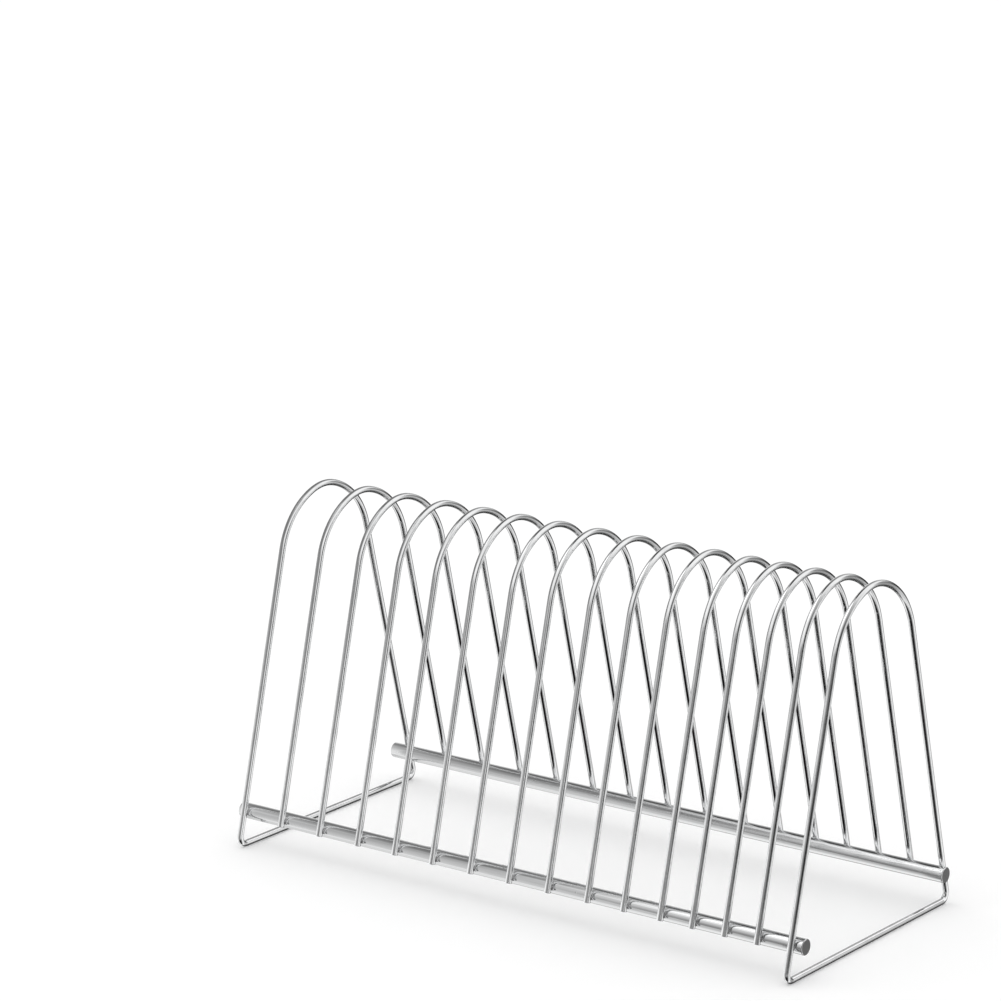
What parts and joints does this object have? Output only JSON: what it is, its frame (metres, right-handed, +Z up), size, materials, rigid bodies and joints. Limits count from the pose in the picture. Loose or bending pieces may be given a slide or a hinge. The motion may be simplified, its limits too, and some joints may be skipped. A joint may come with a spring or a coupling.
{
  "type": "record storage stand",
  "caption": "Chrome wire rack for a table or shelf: leaning wire arches welded to two rails hold records on edge, and the end arches close under it as feet.",
  "frame": {"origin": "middle of the footprint, on the table", "axes": "+X along the rails from the wide slots to the narrow ones, +Y from the front rail to the rear rail, +Z up"},
  "size_m": [0.257, 0.1094, 0.1348],
  "materials": {
    "rail": "bright chrome plate, satin cut ends",
    "wire": "bright chrome plate",
    "weld": "chrome plate over weld metal, slightly dull"
  },
  "bodies": {
    "root": {"front_rail": "rail", "rear_rail": "rail", "end_frame_left": "wire", "end_frame_right": "wire", "divider_01": "wire", "divider_02": "wire", "divider_03": "wire", "divider_04": "wire", "divider_05": "wire", "divider_06": "wire", "divider_07": "wire", "divider_08": "wire", "divider_09": "wire", "divider_10": "wire", "divider_11": "wire", "divider_12": "wire", "divider_13": "wire", "divider_14": "wire", "front_welds": "weld", "rear_welds": "weld"}
  },
  "joints": []
}
